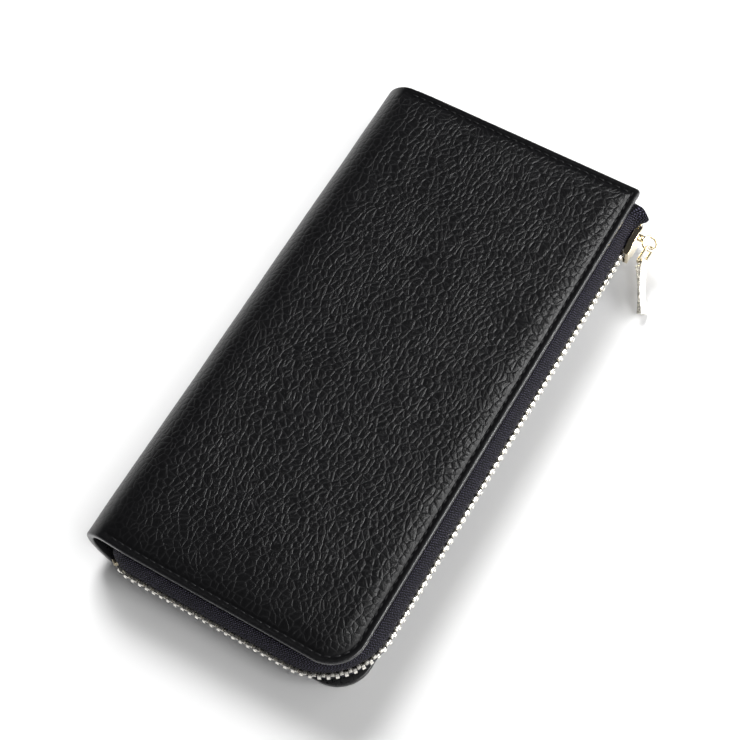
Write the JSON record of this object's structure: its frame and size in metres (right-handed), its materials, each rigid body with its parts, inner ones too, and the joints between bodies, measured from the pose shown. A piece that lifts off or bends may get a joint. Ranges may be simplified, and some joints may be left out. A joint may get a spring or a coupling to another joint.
{
  "type": "long wallet",
  "caption": "Long wallet in black grained leather with an L-shaped metal zip, card rows inside both covers and a zipped coin pocket in the middle.",
  "frame": {"origin": "middle of the back cover's outer face, which the wallet rests on: half of the width from the outside of the spine to the leather's zip-side edge, and half of the length", "axes": "+X across the wallet from the spine to the long zip side, +Y along the wallet to the closed short end, +Z from the back cover to the front cover"},
  "size_m": [0.1165, 0.1958, 0.026],
  "materials": {
    "outer_leather": "pebble grained, semi-matt",
    "inner_leather": "fine grained, semi-matt",
    "lining_cloth": "matt woven",
    "stiffener_board": "matt",
    "stitch_thread": "twisted thread",
    "zip_tape": "ribbed woven",
    "zip_metal": "polished light gold plating"
  },
  "bodies": {
    "back": {"back_cover": "outer_leather", "back_stitching": "stitch_thread", "back_stiffener": "stiffener_board", "back_lining": "lining_cloth", "back_card_row_1": "inner_leather", "back_card_row_2": "inner_leather", "back_card_row_3": "inner_leather", "back_card_row_4": "inner_leather", "back_gusset_leaves": "lining_cloth", "back_zip_tape": "zip_tape", "back_zip_teeth": "zip_metal", "back_top_stop": "zip_metal", "zip_end_stop": "zip_metal"},
    "middle": {"spine_cover": "outer_leather", "spine_lining": "lining_cloth", "coin_back_wall": "inner_leather", "coin_front_wall": "inner_leather", "coin_binding": "lining_cloth", "coin_zip_tapes": "zip_tape", "coin_zip_teeth": "zip_metal", "middle_gusset_back_leaves": "lining_cloth", "middle_gusset_front_leaves": "lining_cloth"},
    "front": {"front_cover": "outer_leather", "front_stitching": "stitch_thread", "front_stiffener": "stiffener_board", "front_lining": "lining_cloth", "front_card_row_1": "inner_leather", "front_card_row_2": "inner_leather", "front_card_row_3": "inner_leather", "front_card_row_4": "inner_leather", "front_gusset_leaves": "lining_cloth", "front_zip_tape": "zip_tape", "front_zip_teeth": "zip_metal", "front_top_stop": "zip_metal"},
    "slider": {"slider_body": "zip_metal", "slider_bridge": "zip_metal"},
    "link": {"pull_link": "zip_metal"},
    "pull": {"pull_bar": "zip_metal"},
    "coin_slider": {"coin_slider_body": "zip_metal"},
    "coin_pull": {"coin_pull_tab": "zip_metal"}
  },
  "joints": [
    {"name": "spine_fold", "type": "hinge", "parent": "back", "child": "middle", "pos_m": [-0.03615, 0, 0], "axis": [0, -1, 0], "range_deg": [0, 20]},
    {"name": "cover_fold", "type": "hinge", "parent": "middle", "child": "front", "pos_m": [-0.03615, 0, 0.026], "axis": [0, -1, 0], "range_deg": [0, 20]},
    {"name": "zip_slide", "type": "slide", "parent": "back", "child": "slider", "axis": [0, -1, 0], "range_m": [0, 0.15]},
    {"name": "link_swing", "type": "hinge", "parent": "slider", "child": "link", "pos_m": [0.05875, 0.08515, 0.01229], "axis": [-0.3216, -0.5362, 0.7804], "range_deg": [-15, 60]},
    {"name": "pull_swing", "type": "hinge", "parent": "link", "child": "pull", "pos_m": [0.05788, 0.08077, 0.00892], "axis": [-0.3216, -0.5362, 0.7804], "range_deg": [-25, 90]},
    {"name": "coin_zip_slide", "type": "slide", "parent": "middle", "child": "coin_slider", "axis": [0, -1, 0], "range_m": [0, 0.14]},
    {"name": "coin_pull_swing", "type": "hinge", "parent": "coin_slider", "child": "coin_pull", "pos_m": [0.029, 0.0694, 0.013], "axis": [0, 0, 1], "range_deg": [0, 160]}
  ],
  "couplings": [
    {"joint": "cover_fold", "follows": "spine_fold", "ratio": 1}
  ]
}
